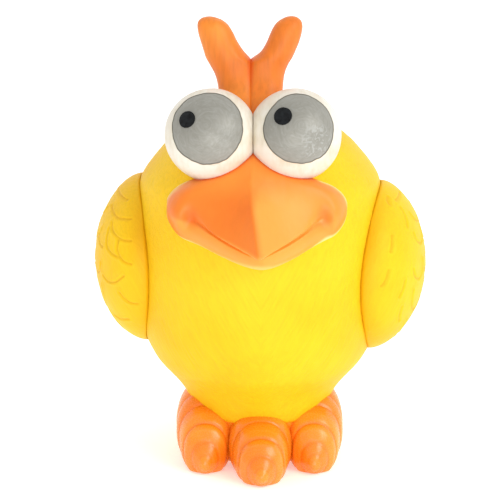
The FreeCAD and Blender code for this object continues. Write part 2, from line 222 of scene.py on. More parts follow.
yellowPaint = {
    "main": "#f7c514", "thick": "#f5bc0e", "thin": "#f9cb1c", "streak": 0.08, "roughness": 0.5, "shine": 0.2,
    "glow": 0.08, "glowReach": (1.0, 0.7, 0.1), "strokeWidth": 0.9, "strokeLength": 8.0, "lean": -0.55,
    "patchSize": 30.0, "grain": 0.45, "relief": 0.75, "reliefDepth": 0.3, "tones": {}}
wingPaint = dict(yellowPaint, relief=0.4, tones={"gathered": "#dca40a"})
beakPaint = {
    "main": "#ef7c22", "thick": "#eb751c", "thin": "#f18228", "streak": 0.03,
    "roughness": 0.38, "shine": 0.35, "glow": 0.08, "glowReach": (1.0, 0.45, 0.1),
    "strokeWidth": 1.4, "strokeLength": 8.0, "lean": 0.0,
    "patchSize": 16.0, "grain": 0.5, "relief": 0.14, "reliefDepth": 0.2,
    "tones": {"lit": "#f99e3c", "gathered": "#e0540c", "rim": "#ffdc92"}}
crestPaint = dict(beakPaint, main="#e97d22", thick="#e07420", thin="#f08e2c", streak=0.14, roughness=0.45,
                  strokeLength=10.0, relief=0.25, tones={"gathered": "#e0601c"})
footPaint = dict(beakPaint, main="#f68c18", thick="#f28012", thin="#f89822", roughness=0.26, shine=0.6,
                 strokeLength=3.0, tones={"lit": "#fdb552", "gathered": "#ee7410"})

skinFinish = paintedLatex("brushedYellowLatex", yellowPaint)
wingFinish = paintedLatex("engravedYellowLatex", wingPaint)
beakFinish = paintedLatex("brushedOrangeLatex", beakPaint)
crestFinish = paintedLatex("drybrushedOrangeLatex", crestPaint)
footFinish = paintedLatex("glossedOrangeLatex", footPaint)


def eyeWhitePaint():
    # thick white emulsion over rubber: satin, with faint brush lines, creamier where it thins
    material, tree, shader = startMaterial("brushedWhiteEmulsion", {
        "Roughness": 0.42, "IOR": 1.5, "Subsurface Weight": 0.08,
        "Subsurface Radius": (1.0, 0.85, 0.6), "Subsurface Scale": 2 * mm})
    place = addNode(tree, "ShaderNodeTexCoord").outputs["Object"]
    # brush lines a little under a millimetre apart and 3 to 4 mm long
    strokePlace = addNode(tree, "ShaderNodeMapping",
                          inputs={"Vector": place, "Scale": (1.1 / mm, 0.26 / mm, 0.32 / mm)})
    strokes = addNode(tree, "ShaderNodeTexNoise", inputs={
        "Vector": strokePlace.outputs[0], "Scale": 1.0, "Detail": 3.0, "Roughness": 0.5})
    thin = addNode(tree, "ShaderNodeTexNoise", inputs={"Vector": place, "Scale": 0.14 / mm, "Detail": 2.0})
    mixed = addNode(tree, "ShaderNodeMath", {"operation": "MULTIPLY_ADD"},
                    {0: strokes.outputs["Fac"], 1: 0.4, 2: thin.outputs["Fac"]})
    tint = addNode(tree, "ShaderNodeValToRGB",
                   {"ramp": [(0.42, "#d2c7ad"), (0.6, "#ded5c2"), (0.8, "#e8e2d5")]}, {0: mixed.outputs[0]})
    tree.links.new(tint.outputs[0], shader.inputs["Base Color"])
    bump = addNode(tree, "ShaderNodeBump", inputs={
        "Height": strokes.outputs["Fac"], "Strength": 0.25, "Distance": 0.12 * mm})
    tree.links.new(bump.outputs[0], shader.inputs["Normal"])
    return material


def silverPaint():
    # aluminium-flake hobby paint put on with a small round brush: grey, weakly metallic,
    # in soft circling strokes
    material, tree, shader = startMaterial("brushedAluminiumPaint", {
        "Roughness": 0.42, "IOR": 1.5, "Metallic": 0.2})
    place = addNode(tree, "ShaderNodeTexCoord").outputs["Object"]
    parts = addNode(tree, "ShaderNodeSeparateXYZ", inputs={"Vector": place})
    ring = addNode(tree, "ShaderNodeAttribute", {"attribute_name": "ring"})
    # seven strokes from the middle to the edge, broken up every 3 mm or so along their way round
    turns = addNode(tree, "ShaderNodeMath", {"operation": "MULTIPLY"}, {0: ring.outputs["Fac"], 1: 7.0})
    sideways = addNode(tree, "ShaderNodeMath", {"operation": "MULTIPLY"},
                       {0: parts.outputs["X"], 1: 0.3 / mm})
    upwards = addNode(tree, "ShaderNodeMath", {"operation": "MULTIPLY"},
                      {0: parts.outputs["Z"], 1: 0.3 / mm})
    sweepPlace = addNode(tree, "ShaderNodeCombineXYZ", inputs={
        "X": turns.outputs[0], "Y": sideways.outputs[0], "Z": upwards.outputs[0]})
    sweeps = addNode(tree, "ShaderNodeTexNoise", inputs={
        "Vector": sweepPlace.outputs[0], "Scale": 1.0, "Detail": 4.0, "Roughness": 0.55, "Distortion": 2.0})
    greys = [(0.3, "#8c8a80"), (0.5, "#929087"), (0.72, "#9a9991")]
    tint = addNode(tree, "ShaderNodeValToRGB", {"ramp": greys}, {0: sweeps.outputs["Fac"]})
    # painted highlight: lighter mottled dabs, only inside the mask stored on the iris
    dabs = addNode(tree, "ShaderNodeTexNoise", inputs={
        "Vector": place, "Scale": 0.62 / mm, "Detail": 3.0, "Distortion": 1.5})
    dabbed = addNode(tree, "ShaderNodeValToRGB", {"ramp": [(0.5, 0.0), (0.62, 1.0)]},
                     {0: dabs.outputs["Fac"]})
    where = addNode(tree, "ShaderNodeAttribute", {"attribute_name": "secondCoat"})
    coat = addNode(tree, "ShaderNodeMath", {"operation": "MULTIPLY"},
                   {0: dabbed.outputs[0], 1: where.outputs["Fac"]})
    tint = addNode(tree, "ShaderNodeMix", {"data_type": "RGBA"},
                   {0: coat.outputs[0], 6: tint.outputs[0], 7: colour("#aaaaa4")})
    # painted shade darkens the groove round the dab, and a cream painted highlight lies on the lip outside it
    edge = addNode(tree, "ShaderNodeAttribute", {"attribute_name": "edge"})
    dark = addNode(tree, "ShaderNodeMix", {"data_type": "RGBA"},
                   {0: edge.outputs["Fac"], 6: tint.outputs[2], 7: colour("#66635a")})
    lip = addNode(tree, "ShaderNodeAttribute", {"attribute_name": "lip"})
    bared = addNode(tree, "ShaderNodeMix", {"data_type": "RGBA"},
                    {0: lip.outputs["Fac"], 6: dark.outputs[2], 7: colour("#efe4c4")})
    tree.links.new(bared.outputs[2], shader.inputs["Base Color"])
    bump = addNode(tree, "ShaderNodeBump", inputs={
        "Height": sweeps.outputs["Fac"], "Strength": 0.2, "Distance": 0.3 * mm})
    tree.links.new(bump.outputs[0], shader.inputs["Normal"])
    return material


def grainedFinish(name, look):
    # a plain finish whose colour and shallow bump both come from one fine pattern
    material, tree, shader = startMaterial(name, look["sockets"])
    place = addNode(tree, "ShaderNodeTexCoord").outputs["Object"]
    laid = addNode(tree, "ShaderNodeMapping", inputs={"Vector": place, "Scale": look["perMetre"]})
    grain = addNode(tree, "ShaderNodeTexNoise", inputs={
        "Vector": laid.outputs[0], "Scale": 1.0, "Detail": look["detail"]})
    tint = addNode(tree, "ShaderNodeValToRGB", {"ramp": look["tints"]}, {0: grain.outputs["Fac"]})
    tree.links.new(tint.outputs[0], shader.inputs["Base Color"])
    bump = addNode(tree, "ShaderNodeBump", inputs={
        "Height": grain.outputs["Fac"], "Strength": look["relief"], "Distance": look["reliefDepth"] * mm})
    tree.links.new(bump.outputs[0], shader.inputs["Normal"])
    return material


whiteFinish = eyeWhitePaint()
silverFinish = silverPaint()
# one drop of gloss black enamel, levelled as it dried
blackFinish = grainedFinish("glossBlackEnamel", {
    "sockets": {"Roughness": 0.2, "IOR": 1.5, "Specular IOR Level": 0.2},
    "perMetre": (0.9 / mm, 0.9 / mm, 0.9 / mm), "detail": 2.0,
    "tints": [(0.3, "#0c0d0e"), (0.7, "#1d2022")], "relief": 0.2, "reliefDepth": 0.1})
# injection-moulded polythene: milky, waxy, with a fine spark-eroded grain
plasticFinish = grainedFinish("mouldedMilkyPolythene", {
    "sockets": {"Roughness": 0.38, "IOR": 1.51, "Subsurface Weight": 0.3,
                "Subsurface Radius": (1.0, 1.0, 0.95), "Subsurface Scale": 2 * mm},
    "perMetre": (3 / mm, 3 / mm, 3 / mm), "detail": 3.0,
    "tints": [(0.3, "#e6e4dc"), (0.7, "#f2f0ea")], "relief": 0.2, "reliefDepth": 0.05})
# half-hard rolled brass strip: fine lines along the rolling, a little dull
brassFinish = grainedFinish("rolledBrassStrip", {
    "sockets": {"Roughness": 0.3, "Metallic": 1.0},
    "perMetre": (6 / mm, 0.3 / mm, 6 / mm), "detail": 2.0,
    "tints": [(0.3, "#b98f3e"), (0.7, "#d8b25c")], "relief": 0.15, "reliefDepth": 0.03})
print("finishes made")

# the skin is one hollow casting, squeezed between the belly and the head
skin = {
    # radius and height down the middle of the back, from the squeaker's hole to the crown
    "outline": [(10.2, 14.6), (14.5, 15.3), (19.5, 16.8), (21.6, 19.4), (23.5, 22), (27.2, 25.9),
                (31.2, 31), (35, 40), (36.7, 50), (37.2, 60), (36.7, 70), (35.4, 78), (33.9, 84.1),
                (28.6, 91.2), (25.1, 94.8), (18.5, 100), (11.5, 103.4), (5, 105.1), (0, 105.5)],
    "wall": 2.2,
    "wallFull": 24,  # radius past which the lining stands in by the whole wall
    "floorTop": 30, "roofHeights": (80, 104),  # the lining rises over the floor and drops under the crown
    "rowsPerSpan": 8, "steps": 440, "mergeWithin": 0.002,
    "soleTop": 16.5, "liningTop": 103,  # lower than this the sole and the lining stay smooth
    "dents": 0.16, "dentSize": 17,  # how far the cast is from a true round
    "strokes": 0.05, "strokeSize": 1.3, "strokeLength": 8, "strokeLean": 0.55, "strokeSeed": 3.7,
    "strokeSlant": (60, 80),  # heights between which the brush's ridges begin to slant
    "poleTop": 105.4, "poleCalm": 1.5,  # the crown's very top stays smooth
    "hem": 3.2,  # how far the belly sags over the toes
    "hemFacing": (0.1, 0.5), "hemHeights": (17, 25), "hemRadii": (11, 15), "hemCore": 5,
    "wideHeight": 40,  # what the underside is given past the fullest part
}
skinLine = smoothLine(skin["outline"], skin["rowsPerSpan"])


def skinRadius(height):
    for low, high in zip(skinLine, skinLine[1:]):
        if low.y <= height <= high.y and high.y > low.y:
            return low.x + (high.x - low.x) * (height - low.y) / (high.y - low.y)
    return 0.0


def skinUnderside(radius):
    for inner, outer in zip(skinLine, skinLine[1:]):
        if inner.x <= radius <= outer.x:
            return inner.y + (outer.y - inner.y) * (radius - inner.x) / max(outer.x - inner.x, tiny)
    return skinLine[0].y if radius < skinLine[0].x else skin["wideHeight"]


def skinLining():
    # every other point of the outline, moved in by the wall
    wall = skin["wall"]
    lining = []
    for x, z in skin["outline"][::2]:
        rise = wall if z < skin["floorTop"] else -wall * between(z, *skin["roofHeights"])
        lining.append(Vector((max(x - wall * between(x, 0, skin["wallFull"]), 1), 0, z + rise)))
    lining[0].x = skin["outline"][0][0]
    lining[-1].x = 0
    return lining


def makeSkin():
    bm = bmesh.new()
    outside = linkPath(bm, [(p.x, 0, p.y) for p in skinLine])
    inside = linkPath(bm, skinLining())
    bm.edges.new((outside[0], inside[0]))
    spinRound(bm, skin["steps"])
    bmesh.ops.remove_doubles(bm, verts=bm.verts[:], dist=skin["mergeWithin"])
    bmesh.ops.recalc_face_normals(bm, faces=bm.faces[:])
    bm.normal_update()
    for vert in bm.verts:
        p = vert.co
        radius = math.hypot(p.x, p.y)
        if p.z < skin["soleTop"] or (radius < skinRadius(p.z) - 1 and p.z < skin["liningTop"]):
            continue
        slant = skin["strokeLean"] * p.z * between(p.z, *skin["strokeSlant"])
        stroke = Vector((abs(p.x) - slant, p.y, p.z / skin["strokeLength"]))
        push = skin["dents"] * unevenness(p, skin["dentSize"])
        push += skin["strokes"] * unevenness(stroke, skin["strokeSize"], skin["strokeSeed"])
        placed = p + vert.normal * push * between(skin["poleTop"] - p.z, 0, skin["poleCalm"])
        # only the front of the belly's hem sags
        facing = between(-p.y / max(radius, 1), *skin["hemFacing"]) if radius > skin["hemCore"] else 0
        sag = (1 - between(p.z, *skin["hemHeights"])) * between(radius, *skin["hemRadii"])
        placed.z -= skin["hem"] * facing * sag
        vert.co = placed
    piece = makePiece(bm, "hollowSkin", None, skinFinish, recalc=False)
    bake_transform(piece)
    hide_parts("belly_skin", "head_skin")


makeSkin()
print("skin made")

# each wing is a thick pad moulded on the side of the body, with feathers engraved by hand
wing = {
    "front": 23.2, "back": 27.4,  # distances round the body from the wing's middle
    "leftHeights": (32.4, 81.8), "rightHeights": (33.4, 82.8),
    "thick": 11.0, "gap": 0.1, "aroundRadius": 36.5,
    "turn": -4.4,  # both wings sit a little round the body
    "cells": 176,
    "crowding": 1.3,  # how far the grid's rows crowd together at the rim
    "backRings": (0.97, 0.85, 0.65, 0.4, 0.18),
    "cutDepth": 0.36, "cutWidth": 0.25, "cutShade": 0.55, "cutPoints": 60,
    "lipHeight": 0.16, "lipAway": 0.65, "lipWidth": 0.3,
    "edgeCalm": (0.8, 3.0),  # thicknesses between which the engraving comes in
    "dents": 0.12, "dentSize": 7, "dentSeed": 9,
    # painted shade in the fold along the front edge, most of all at its top
    "foldPuff": (0.1, 7), "foldFront": (0.2, 0.9), "foldHeights": (-0.4, 0.6), "foldShades": (0.45, 0.4),
    # engraved feathers as (distance forwards round the body, height)
    "rightCuts": [
        [(7.1, 75.5), (10.9, 73.9), (13.5, 73.4), (16.5, 73.7)],
        [(11.8, 71.9), (13.9, 69.6), (17.1, 68.3), (19.4, 68.2)],
        [(11.8, 70.2), (12.9, 65.8), (15.2, 63.9), (18.5, 63.2)],
        [(16.4, 67.9), (16.9, 65.2), (18.9, 62.7), (20.9, 61.9)],
        [(12.0, 56.4), (14.2, 55.3), (16.9, 55.8), (19.4, 58.2)],
        [(17.7, 53.0), (18.7, 51.1), (19.9, 50.1), (20.9, 50.0)],
        [(11.2, 43.9), (13.6, 43.4), (16.4, 44.2)],
        [(0.4, 79.3), (7.3, 78.5), (11.4, 78.0)],
        [(5.5, 67.4), (8.9, 64.9), (11.2, 64.5)]],
    "leftCuts": [
        [(7.9, 79.4), (9.4, 78.6), (10.1, 77.7)],
        [(7.5, 76.6), (8.1, 74.2), (9.6, 71.5)],
        [(15.5, 70.5), (16.4, 68.4), (17.4, 66.3)],
        [(18.7, 61.4), (19.5, 58.7), (20.5, 57.0)],
        [(14.2, 57.5), (14.9, 54.4), (15.5, 52.8)],
        [(13.8, 49.5), (13.4, 46.6), (12.2, 44.4)],
        [(0.5, 79.0), (4.0, 78.6), (7.0, 78.2)]],
    # scallops on the side of both wings: middle, height, half width, depth
    "scallops": [
        (-15, 74, 4.2, 3.4), (-7, 75, 4.2, 3.6), (1, 74.5, 4, 3.6),
        (-19, 68, 4.2, 4), (-11, 68.5, 4.2, 4.2), (-3, 68.5, 4.2, 4.2), (4.6, 69.5, 3.4, 4),
        (-15, 61, 4.4, 4.6), (-7, 61.5, 4.4, 4.8), (1.2, 61.5, 4.2, 4.8), (8, 60, 3, 4),
        (-19, 53, 4.4, 6.5), (-11, 53, 4.6, 7.5), (-2.4, 53, 4.6, 8), (6, 53.5, 4.4, 7.5),
        (-13, 44, 4.6, 6.5), (-5, 43.5, 4.8, 7), (4, 44, 4.6, 6.5)],
    "scallopCorner": (0.78, 0.62),  # shares of the half width and depth at a scallop's shoulders
}


def wingCuts(cuts):
    lines = [list(cut) for cut in cuts]
    outShare, downShare = wing["scallopCorner"]
    for middle, height, half, depth in wing["scallops"]:
        shoulder, shoulderHeight = half * outShare, height - depth * downShare
        lines.append([(middle - half, height), (middle - shoulder, shoulderHeight), (middle, height - depth),
                      (middle + shoulder, shoulderHeight), (middle + half, height)])
    points = [p for line in lines for p in smoothLine(line, wing["cutPoints"])]
    tree = kdtree.KDTree(len(points))
    for i, p in enumerate(points):
        tree.insert(p, i)
    tree.balance()
    return tree


def makeWing(name, node, side, heights, cuts):
    cutTree = wingCuts(cuts)
    low, high = heights
    middle, halfHeight = (low + high) / 2, (high - low) / 2
    fullest = math.sin(wing["crowding"])
    startShade, addedShade = wing["foldShades"]
    bm = bmesh.new()
    bmesh.ops.create_grid(bm, x_segments=wing["cells"], y_segments=wing["cells"], size=1)
    gathered = bm.verts.layers.float.new("gathered")

    def onBody(around, height, out):
        angle = around / wing["aroundRadius"]
        reach = skinRadius(height) + out
        return Vector((side * reach * math.cos(angle), -reach * math.sin(angle), height))

    def along(u):
        return u * (wing["front"] if u > 0 else wing["back"])

    flat = {}
    for vert in bm.verts:
        x, y = vert.co.x, vert.co.y
        # the square grid is drawn out to a disc
        u, w = x * math.sqrt(1 - y * y / 2), y * math.sqrt(1 - x * x / 2)
        far = math.hypot(u, w)
        if far > tiny:
            fuller = math.sin(min(far, 1) * wing["crowding"]) / fullest
            u, w = u * fuller / far, w * fuller / far
        far = min(math.hypot(u, w), 1)
        around, height = along(u), middle + halfHeight * w
        puff = wing["thick"] * math.sqrt(max(1 - far * far, 0))
        away = cutTree.find(Vector((around, height, 0)))[2]
        cut = math.exp(-(away / wing["cutWidth"]) ** 2)
        lip = math.exp(-((away - wing["lipAway"]) / wing["lipWidth"]) ** 2)
        fade = between(puff, *wing["edgeCalm"])
        puff += fade * (lip * wing["lipHeight"] - cut * wing["cutDepth"])
        spot = Vector((around, height, side * wing["dentSeed"]))
        puff += wing["dents"] * unevenness(spot, wing["dentSize"]) * fade
        # painted shade in the engraved cuts and in the fold along the front edge
        foldDepth = (1 - between(puff, *wing["foldPuff"])) * between(u, *wing["foldFront"])
        inFold = foldDepth * (startShade + addedShade * between(w, *wing["foldHeights"]))
        vert[gathered] = min(cut * wing["cutShade"] * fade + inFold, 1)
        flat[vert] = (u, w)
        vert.co = onBody(around, height, wing["gap"] + max(puff, 0))
    # the concave back, which closes ring by ring to its middle
    ring = [e for e in bm.edges if e.is_boundary]
    shapeOf = {v: flat[v] for e in ring for v in e.verts}
    for share in wing["backRings"]:
        made = bmesh.ops.extrude_edge_only(bm, edges=ring)["geom"]
        following = {}
        for vert in (g for g in made if isinstance(g, bmesh.types.BMVert)):
            old = next(e.other_vert(vert) for e in vert.link_edges if e.other_vert(vert) in shapeOf)
            u, w = following[vert] = shapeOf[old]
            vert.co = onBody(along(u * share), middle + halfHeight * w * share, wing["gap"])
        shapeOf = following
        ring = [g for g in made if isinstance(g, bmesh.types.BMEdge) and g.is_boundary]
    bmesh.ops.pointmerge(bm, verts=list(shapeOf), merge_co=onBody(0, middle, wing["gap"]))
    bmesh.ops.rotate(bm, verts=bm.verts[:], matrix=Matrix.Rotation(math.radians(wing["turn"]), 3, "Z"))
    piece = makePiece(bm, name, None, wingFinish)
    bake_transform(piece)
    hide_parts(node)


makeWing("wingLeft", "wing_left", 1, wing["leftHeights"], wing["leftCuts"])
makeWing("wingRight", "wing_right", -1, wing["rightHeights"], wing["rightCuts"])
print("wings made")

eye = {
    "radius": 12.9, "middle": -2.1, "spread": 11.6, "forward": -23.1, "height": 99.9,
    "squash": 0.22,  # how softly one ball flattens on the other
    "dents": 0.006, "dentSize": 6, "dentSeed": 5.0,
    # a dab's section: shares of its radius and thickness over the top, then depths into the ball
    "dabTop": [(0, 1), (0.5, 1), (0.9, 0.96), (0.93, 0.95), (0.951, 0.72), (0.972, 1.0), (0.988, 0.9),
               (1.0, 0.45)],
    "dabUnder": [(1.003, -0.15), (0.8, -0.5), (0.0, -0.5)],
    "dabThick": 0.42, "dabPerSpan": 5, "dabSteps": 144, "dabMerge": 0.0002,
    "grooveShadeBand": (0.94, 0.962), "lipHighlightBand": (0.972, 0.985),
    "irisWobble": 0.06, "pupilWobble": 0.04, "wobbleTurns": 1.6, "fineTurns": 6, "fineShare": 0.35,
    "mottledHighlightAt": (0.45, -0.4), "mottledHighlightBand": (0.25, 0.6),
}
# its CAD node, degrees towards the bird's left, degrees up, radius along the ball, seed, share of painted
# mottled highlight
dabs = {
    "irisLeft": ("iris_left", 5.9, 22.4, 10.7, 1.3, 0.8),
    "irisRight": ("iris_right", -5.0, 23.4, 11.1, 4.1, 0.15),
    "pupilLeft": ("pupil_left", -18.4, 33.6, 2.42, 7.7, 0),
    "pupilRight": ("pupil_right", -32.2, 28.4, 2.28, 9.2, 0),
}


def aim(aside, up):
    # degrees to a direction out of the eye
    a, e = math.radians(aside), math.radians(up)
    return Vector((math.cos(e) * math.sin(a), -math.cos(e) * math.cos(a), math.sin(e)))


def makeEyeball(name, node, side):
    middle = Vector((eye["middle"] + side * eye["spread"], eye["forward"], eye["height"]))
    firm = eye["spread"] - eye["squash"]
    bm = bmesh.new()
    bmesh.ops.create_icosphere(bm, subdivisions=6, radius=eye["radius"])
    for vert in bm.verts:
        p = vert.co * (1 + eye["dents"] * unevenness(vert.co, eye["dentSize"], side * eye["dentSeed"]))
        over = -side * p.x - firm
        if over > 0:
            p.x = -side * (firm + eye["squash"] * (1 - math.exp(-over / eye["squash"])))
        vert.co = p + middle
    piece = makePiece(bm, name, "head", whiteFinish)
    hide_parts(node)
    return middle


def makeDab(name, dab, finish, middle, lift, wobble):
    # a dab of paint: a low cap with a rounded, hand-drawn edge
    node, aside, up, radius, seed, secondCoat = dab
    ball = eye["radius"] + lift
    reach = radius / eye["radius"]
    section = [(share, rise * eye["dabThick"]) for share, rise in eye["dabTop"]] + eye["dabUnder"]
    bm = bmesh.new()
    path = linkPath(bm, [(p.x, 0, p.y) for p in smoothLine(section, eye["dabPerSpan"])])
    path[0].co.x = path[-1].co.x = 0
    spinRound(bm, eye["dabSteps"])
    bmesh.ops.remove_doubles(bm, verts=bm.verts[:], dist=eye["dabMerge"])
    layerNames = ("edge", "ring", "lip", "secondCoat")
    edge, ringLayer, lipLayer, mottledLayer = [bm.verts.layers.float.new(layer) for layer in layerNames]
    turn = aim(aside, up).to_track_quat("Z", "Y")
    mottledX, mottledY = eye["mottledHighlightAt"]

    def handDrawn(across, along, turns, shift=0):
        return noise.noise(Vector((across * turns + shift, along * turns, seed)))

    for vert in bm.verts:
        share, height = math.hypot(vert.co.x, vert.co.y), vert.co.z
        angle = math.atan2(vert.co.y, vert.co.x)
        across, along = math.cos(angle), math.sin(angle)
        uneven = 1 + wobble * handDrawn(across, along, eye["wobbleTurns"], seed)
        fine = wobble * eye["fineShare"] * handDrawn(across, along, eye["fineTurns"])
        polar = share * reach * (uneven + fine)
        fromMottled = math.hypot(across * share - mottledX, along * share - mottledY)
        # painted shade in the groove round the dab and a painted highlight on its lip
        vert[edge] = between(share, *eye["grooveShadeBand"])
        vert[lipLayer] = between(share, *eye["lipHighlightBand"])
        # the mask for the mottled painted highlight, low on one side of the iris
        vert[mottledLayer] = secondCoat * (1 - between(fromMottled, *eye["mottledHighlightBand"]))
        vert[ringLayer] = share * uneven
        local = Vector((math.sin(polar) * across, math.sin(polar) * along, math.cos(polar)))
        vert.co = turn @ (local * (ball + height)) + middle
    piece = makePiece(bm, name, "head", finish)
    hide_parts(node)


leftMiddle = makeEyeball("eyeballLeft", "eyeball_left", 1)
rightMiddle = makeEyeball("eyeballRight", "eyeball_right", -1)
for name, dab in dabs.items():
    middle = leftMiddle if name.endswith("Left") else rightMiddle
    if name.startswith("iris"):
        makeDab(name, dab, silverFinish, middle, lift=0, wobble=eye["irisWobble"])
    else:
        # a pupil lies on its iris
        makeDab(name, dab, blackFinish, middle, lift=eye["dabThick"], wobble=eye["pupilWobble"])
print("eyes made")

beak = {
    "middle": -1.0,
    # rows from under the eyes down the flank, round the mouth line and over the lip
    "ridgeAcross": [-2.2, -2.2, -2.8, -2.5, -1.4, -0.5, -0.5, -0.4, 0.0, 0.4, 0.4],
    "columns": {
        0.0: [(-18, 98.5), (-27.2, 97.2), (-34, 91.2), (-40.8, 83.8), (-46.9, 77.4), (-51.2, 71.2),
              (-46.6, 70.8), (-46.8, 70), (-46.4, 68), (-42.6, 65.2), (-33, 65.4)],
        5.5: [(-19, 94), (-30.4, 93.6), (-33.6, 88.8), (-37, 83), (-40.8, 78), (-44.4, 73.1), (-42.2, 72.6),
              (-43.9, 72.1), (-44.6, 69.8), (-40.8, 66.4), (-32, 66.8)],
        10.5: [(-19, 90.4), (-31.6, 90.6), (-33.4, 87.2), (-35.3, 83), (-37.9, 78.4), (-40.3, 74.8),
               (-38.2, 74.3), (-40.1, 73.8), (-41, 71.5), (-38.2, 68.1), (-30, 68.6)],
        15.0: [(-17, 88.6), (-30.8, 89.2), (-32.6, 86.8), (-33.6, 83), (-35, 79.8), (-36.1, 77.4),
               (-34.3, 76.9), (-36, 76.3), (-37, 73.6), (-34.6, 70), (-27, 70.5)],
        18.3: [(-15, 87.6), (-29.4, 87.9), (-31.8, 85.8), (-32.6, 82.8), (-32.2, 80.8), (-31.2, 79.3),
               (-31, 78.4), (-31.7, 77.2), (-34, 74.6), (-32, 70.6), (-25, 71)],
        21.0: [(-13, 86), (-27.2, 86.6), (-30.9, 85), (-32.8, 82.5), (-33.9, 80.6), (-34.2, 79), (-34, 77.6),
               (-33.4, 75.6), (-31.8, 72.8), (-28.6, 71), (-21, 72)],
        23.6: [(-13, 84), (-25.4, 84.6), (-28.2, 83.6), (-30.4, 82), (-31.4, 80.5), (-31.6, 79.1),
               (-31.3, 77.9), (-30.6, 76.4), (-28.8, 74.6), (-25.6, 73.6), (-19, 74.4)],
        25.2: [(-12, 81.6), (-23.4, 82), (-25, 81.6), (-26.6, 81), (-27.6, 80.2), (-27.8, 79.4),
               (-27.6, 78.6), (-26.8, 77.8), (-25.4, 77), (-23.4, 76.6), (-17, 77)],
        25.5: [(-12, 80.6), (-19, 80.8), (-19.8, 80.5), (-20.6, 80.2), (-21, 79.8), (-21, 79.4), (-21, 79),
               (-20.6, 78.6), (-19.8, 78.3), (-19, 78.1), (-15, 78.3)],
    },
    "ridgeRows": (1, 5), "ridgeCrease": 0.62,
    "mouthRows": (5, 7), "mouthColumns": 3, "mouthCrease": 0.7,
    "leanFades": 20,  # the ridge's sideways drift is gone this far out
    "dents": 0.10, "dentSize": 6, "strokes": 0.04, "strokeSize": 1.5, "strokeLength": 4,
    # the side that catches the light starts at the ridge, which drifts with height
    "ridgeStart": -2.6, "ridgeDrift": 2.1, "driftFrom": 84, "driftDown": (-2, 12),
    "litEdge": (-0.8, 1.6), "litSoftens": (82, 94), "litSoftness": 3, "litTop": 93, "litDown": (0, 11),
    "litFades": (10, 20), "litFade": 0.4,
    "browTone": 0.35, "browHeights": (83, 90),
    # the pale lip under the mouth's line, higher towards the cheeks
    "lipTop": 72.2, "lipRise": 0.28, "lipEdge": (-0.6, 0.8), "lipForward": (28, 34), "lipTone": 0.85,
    # painted shade under the eyes and in the dimple at each end of the mouth
    "underEye": (0.2, 1.1), "underEyeShade": 0.85,
    "dimple": (18.3, 79.2), "dimpleTall": 1.5, "dimpleEdge": (0.3, 3), "dimpleShade": 0.35,
    # the pale rim: a pale band by the skin, and a painted highlight round the cheeks and along the bottom
    "rimProud": (0.5, 1.3), "rimTone": 0.9, "rimFromEye": (0.8, 2),
    "cheekFacing": (0.0, 0.28), "cheekOut": (19, 24), "cheekHighlight": 0.7,
    "bottomFacing": (0.55, 0.9), "bottomForward": (26, 32), "bottomHighlight": 0.6,
}


